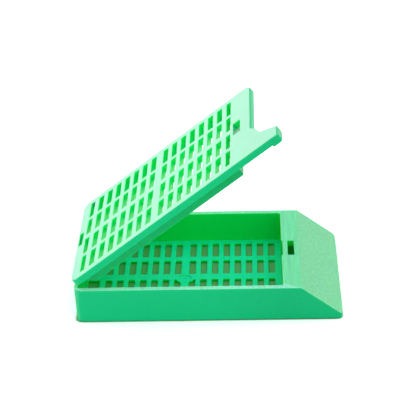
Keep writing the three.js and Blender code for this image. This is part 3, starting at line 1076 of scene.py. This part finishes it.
@dataclass
class CassetteBase(Moulding):
    """The open base: a shallow well with a slotted floor and a sloped writing face.

    Attributes:
        wall: thickness of the side walls.
        rear: thickness of the rear wall.
        floor: thickness of the slotted floor.
        pad: the most that the pad on the floor stands above it.
        shelf: how far from the middle of the base the well ends, towards the nose.
        nose: how far back from its tip the solid nose reaches.
        slack: how far an inner face may lie from where the walls end.
        brim: how far under the highest place the top may lie.
        slope: which way the writing face looks.
        corner: how much a face of a rear corner looks back and aside, at least.
        foot_radius: radius of the outer edge that the base stands on.
    """

    wall: float = 1.18
    rear: float = 0.6
    floor: float = 0.5
    pad: float = 0.3
    shelf: float = 10.0
    nose: float = 1.0
    slack: float = 0.1
    brim: float = 0.01
    slope: tuple[float, float, float] = (0.588, 0.0, 0.809)
    corner: tuple[float, float] = (0.45, 0.12)
    foot_radius: float = 0.32

    def wished_radii(self, solid: FlatSolid) -> np.ndarray:
        """Gives the outer edge of the underside its own wider radius.

        Args:
            solid: the base's solid.

        Returns:
            The radius asked for at each place of the rim order, in millimetres.
        """
        wish = super().wished_radii(solid)
        outer, _ = solid.widest_loop(solid.most_holed(-UP))
        wish[solid.loop == outer] = self.foot_radius
        return wish

    def tints(self, solid: FlatSolid) -> np.ndarray:
        """The colour, grain and roughness of each face.

        Args:
            solid: the base's solid.

        Returns:
            Red, green, blue, share of grain and roughness, a row for each face.
        """
        centre, normal = solid.centres(), solid.normal
        low, high = (np.array(corner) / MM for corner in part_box(self.node))
        up = normal[:, 2]
        upright = np.abs(up) < STEEP
        inside = np.abs(centre[:, 1]) < high[1] - self.wall + self.slack
        inside &= centre[:, 0] > low[0] + self.rear - self.slack
        inside &= centre[:, 0] < high[0] - self.nose
        back, aside = self.corner
        corner = upright & ~inside & (normal[:, 0] < -back) & (np.abs(normal[:, 1]) > aside)
        slots = solid.hole_walls(solid.most_holed(-UP)) & upright
        slots |= inside & upright & (centre[:, 0] > self.shelf)
        on_floor = inside & (up > STEEP) & (centre[:, 2] < self.floor + self.pad)
        tint = super().tints(solid)
        paint(tint, corner, self.finish.thin, Finish.POLISHED)
        # painted sheen: every face that looks up gets the paler shelf colour
        paint(tint, up > STEEP, self.finish.shelf, Finish.DRAWN)
        # the eroded slope: paler for its matt finish and as a painted sheen
        paint(tint, normal @ self.slope > LIKENESS, self.finish.frosted_and_sheen, Finish.ERODED)
        # painted light: inner walls get a deeper green
        paint(tint, inside & upright, self.finish.wall, Finish.POLISHED)
        # painted light: slot walls get a deeper green
        paint(tint, slots, self.finish.slot, Finish.POLISHED)
        # painted light: the floor inside gets a brighter green
        paint(tint, on_floor, self.finish.floor, Finish.DULL)
        return tint

    def touch_up(self, tint: np.ndarray, middles: np.ndarray) -> None:
        """Gives the top of the front wall its own paler colour, a painted highlight.

        Args:
            tint: a row for each facet, which is changed.
            middles: the middle of each facet, in millimetres.
        """
        low, high = (np.array(corner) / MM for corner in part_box(self.node))
        rims = middles[:, 1] < low[1] + self.wall
        rims &= middles[:, 2] > high[2] - self.brim
        # painted highlight on the top of the front wall
        paint(tint, rims, self.finish.rim, Finish.DRAWN)


@dataclass
class CassetteLid(Moulding):
    """The slotted lid with its finger tab, a skirt, a rear hook and a front barb.

    Attributes:
        plate_radius: radius of the plate's outer top edge.
        skirt_drop: how far under the plate the middle of a skirt's face lies, at least.
    """

    plate_radius: float = 0.4
    skirt_drop: float = 0.05

    def wished_radii(self, solid: FlatSolid) -> np.ndarray:
        """Gives the plate's outer top edge its own wider radius.

        Args:
            solid: the lid's solid.

        Returns:
            The radius asked for at each place of the rim order, in millimetres.
        """
        wish = super().wished_radii(solid)
        outer, _ = solid.widest_loop(solid.most_holed(UP))
        wish[solid.loop == outer] = self.plate_radius
        return wish

    def tints(self, solid: FlatSolid) -> np.ndarray:
        """The colour, grain and roughness of each face.

        Args:
            solid: the lid's solid.

        Returns:
            Red, green, blue, share of grain and roughness, a row for each face.
        """
        top, under = solid.most_holed(UP), solid.most_holed(-UP)
        plate = solid.normal[top]
        up = solid.normal @ plate
        height = solid.centres() @ plate
        steep = np.abs(up) < STEEP
        tint = super().tints(solid)
        # painted sheen: the faces that look the plate's way get the paler plate colour
        paint(tint, up > STEEP, self.finish.plate, Finish.POLISHED)
        # painted shade: the skirt's faces under the plate get a darker green
        skirt = steep & (height < height[under] - self.skirt_drop)
        paint(tint, skirt, self.finish.skirt, Finish.POLISHED)
        slots = (solid.hole_walls(top) | solid.hole_walls(under)) & steep
        # painted light: the lid's slot walls get a deeper green
        paint(tint, slots & ~skirt, self.finish.lid_slot, Finish.POLISHED)
        return tint


# ---------------------------------------------------------------- studio


@dataclass
class Camera:
    """The camera, aimed at the object from a little above its front.

    Attributes:
        azimuth: how far it looks to the right of +Y, in degrees.
        elevation: how far it stands above the object, in degrees.
        roll: its turn about its own line of sight, in degrees.
        distance: from the target, in millimetres.
        target: what it looks at, in millimetres.
        focal_length: in millimetres.
        sensor: the sensor's width, in millimetres.
        clip: the nearest and the farthest distance that it sees, in metres.
    """

    azimuth: float = -1.535
    elevation: float = 24.723
    roll: float = -1.513
    distance: float = 294.294
    target: tuple[float, float, float] = (-0.051, 0.0, 12.571)
    focal_length: float = 160.96
    sensor: float = 36.0
    clip: tuple[float, float] = (0.01, 10.0)

    def build(self) -> None:
        """Makes the camera and gives it to the scene."""
        azimuth, elevation, roll = map(math.radians, (self.azimuth, self.elevation, self.roll))
        level = math.cos(elevation)
        sight = Vector((math.sin(azimuth) * level, math.cos(azimuth) * level, -math.sin(elevation)))
        aside = Vector((math.cos(azimuth), -math.sin(azimuth), 0.0))
        upward = aside.cross(sight)
        right = math.cos(roll) * aside + math.sin(roll) * upward
        top = math.cos(roll) * upward - math.sin(roll) * aside
        pose = Matrix((right, top, -sight)).transposed().to_4x4()
        pose.translation = Vector(self.target) * MM - self.distance * MM * sight
        data = bpy.data.cameras.new("camera")
        data.sensor_width = self.sensor
        data.lens = self.focal_length
        data.clip_start, data.clip_end = self.clip
        camera = bpy.data.objects.new("camera", data)
        camera.matrix_world = pose
        bpy.context.scene.collection.objects.link(camera)
        bpy.context.scene.camera = camera
        log.info("camera")


@dataclass
class Studio:
    """A white table under soft white light from all around.

    Attributes:
        half_width: half the table's width, in metres.
        sky: strength of the even light from all around.
        table: how much light the table sends back.
        table_seen: the same, as the camera sees it.
        table_painted_shadow: the colour that the table's white is multiplied by under the
            translucent part, a painted shadow.
        table_glow: the light that the translucent part passes down to the table.
        corner: radius of the part's foot at its corners, in millimetres.
        fade: how far each way from the part's foot that change takes, in millimetres.
        panel: strength of the white panel low behind, which only the gloss shows.
        panel_size: its width and height, in metres.
        panel_place: where its middle hangs, in metres.
    """

    half_width: float = 2.0
    sky: float = 1.0
    table: float = 0.8
    table_seen: float = 1.55
    table_painted_shadow: Colour = (0.1, 0.22, 0.11)
    table_glow: Colour = (0.0, 0.08, 0.004)
    corner: float = 1.2
    fade: float = 0.3
    panel: float = 2.0
    panel_size: tuple[float, float] = (1.0, 0.8)
    panel_place: tuple[float, float, float] = (-0.62, 0.95, 0.33)

    def build(self) -> None:
        """Makes the table and the light."""
        self._build_table()
        world = bpy.data.worlds.new("studio")
        bpy.context.scene.world = world
        graph = Graph(world)
        sky = graph.add("ShaderNodeBackground", {}, {"Color": WHITE, "Strength": self.sky})
        graph.finish(sky, "ShaderNodeOutputWorld")
        self._build_panel()
        log.info("studio")

    def _build_panel(self) -> None:
        """Hangs the panel behind the part, to the left, facing it."""
        data = bpy.data.lights.new("panel", "AREA")
        data.shape = "RECTANGLE"
        data.size, data.size_y = self.panel_size
        data.energy = self.panel * math.pi * data.size * data.size_y
        panel = bpy.data.objects.new("panel", data)
        panel.location = self.panel_place
        panel.rotation_mode = "QUATERNION"
        panel.rotation_quaternion = (-panel.location).to_track_quat("-Z", "Y")
        panel.visible_camera = False
        panel.visible_diffuse = False
        bpy.context.scene.collection.objects.link(panel)

    def _build_table(self) -> None:
        """Makes the table."""
        size = self.half_width
        mesh = bpy.data.meshes.new("table")
        corners = [(-size, -size, 0.0), (size, -size, 0.0), (size, size, 0.0), (-size, size, 0.0)]
        mesh.from_pydata(corners, [], [(0, 1, 2, 3)])
        mesh.materials.append(self._table_white())
        table = bpy.data.objects.new("table", mesh)
        bpy.context.scene.collection.objects.link(table)

    def _table_white(self) -> bpy.types.Material:
        """The table's white, darker only where the part keeps the light off it."""
        material = bpy.data.materials.new("table")
        graph = Graph(material)
        path = graph.add("ShaderNodeLightPath", output="Is Camera Ray")
        seen = path.above(path.output("Is Glossy Ray")).above(path.output("Is Transmission Ray"))
        clear = self._clear_of_part(graph)
        shade = self.table + (self.table_seen - self.table) * seen
        # painted shadow: the table's white is darkened and tinted green under the part's foot, and
        # a green glow is painted there
        under = graph.blend(clear, (*self.table_painted_shadow, 1.0), WHITE)
        passed = graph.blend(clear, (*self.table_glow, 1.0), BLACK)
        inputs = {"Base Color": graph.scaled(under, shade), "Roughness": 1.0}
        inputs |= {"Emission Color": graph.scaled(passed, seen), "Emission Strength": 1.0}
        inputs |= {"Specular IOR Level": 0.0}
        graph.finish(graph.add("ShaderNodeBsdfPrincipled", {}, inputs))
        return material

    def _clear_of_part(self, graph: Graph) -> Socket:
        """A smooth step from 0 under the part, where the shadow and the green glow are painted, to
        1 beside it.

        Args:
            graph: the table's graph.

        Returns:
            The step as a Socket.
        """
        place = graph.add("ShaderNodeTexCoord", output="Object")
        xyz = graph.add("ShaderNodeSeparateXYZ", inputs={0: place})
        low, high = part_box("base")
        corner = self.corner * MM
        past = {}
        for axis, name in enumerate("XY"):
            middle = (low[axis] + high[axis]) / 2
            half = (high[axis] - low[axis]) / 2
            past[axis] = (abs(xyz.output(name) - middle) - (half - corner)).above(0.0)
        outward = graph.add("ShaderNodeCombineXYZ", {}, past)
        away = graph.add("ShaderNodeVectorMath", {"operation": "LENGTH"}, {0: outward}, 1)
        return away.ramp(corner - self.fade * MM, corner + self.fade * MM)


def main() -> None:
    """Builds the camera, the mouldings and the studio."""
    logging.basicConfig(level=logging.INFO, format="%(name)s: %(message)s")
    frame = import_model()
    bpy.context.scene.view_settings.view_transform = "Standard"
    Camera().build()
    acetal = Acetal()
    CassetteBase("base", "base", "cassette_base", EdgeRule(), acetal).build(frame)
    CassetteLid("lid", "lid", "cassette_lid", EdgeRule(), acetal).build(frame)
    Studio().build()


if __name__ == "__main__":
    main()
